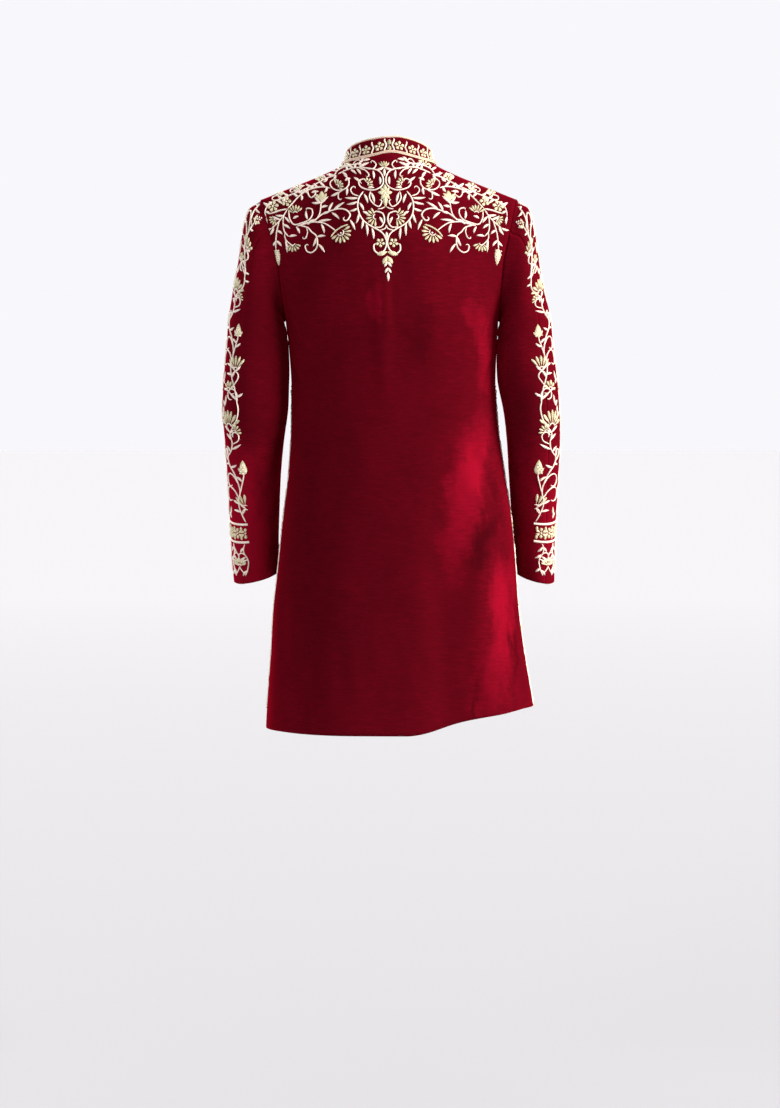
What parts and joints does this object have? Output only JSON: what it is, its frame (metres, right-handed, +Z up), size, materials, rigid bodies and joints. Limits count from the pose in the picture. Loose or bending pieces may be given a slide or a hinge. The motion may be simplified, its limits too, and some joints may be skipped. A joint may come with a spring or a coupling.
{
  "type": "sherwani coat",
  "caption": "Knee-length stand-collar menswear coat in embroidered velvet, worn form, hollow and open at neck, hem and cuffs.",
  "frame": {"origin": "middle of the neck opening, at the height where the collar meets the shoulder seams, where the wearer's shoulders carry the coat", "axes": "+Z up, +X to the wearer's left, -Y to the wearer's front"},
  "size_m": [0.5724, 0.3063, 0.9964],
  "materials": {
    "velvet": "deep red pile velvet",
    "gold_cord": "metallic thread",
    "gold_button": "satin"
  },
  "bodies": {
    "root": {"back": "velvet", "front_left": "velvet", "front_right": "velvet", "left_top_sleeve": "velvet", "left_under_sleeve": "velvet", "right_top_sleeve": "velvet", "right_under_sleeve": "velvet", "collar": "velvet", "collar_top_cord": "gold_cord", "collar_base_cord": "gold_cord", "button_1": "gold_button", "button_2": "gold_button", "button_3": "gold_button", "button_4": "gold_button", "button_5": "gold_button", "button_6": "gold_button", "button_7": "gold_button"}
  },
  "joints": []
}
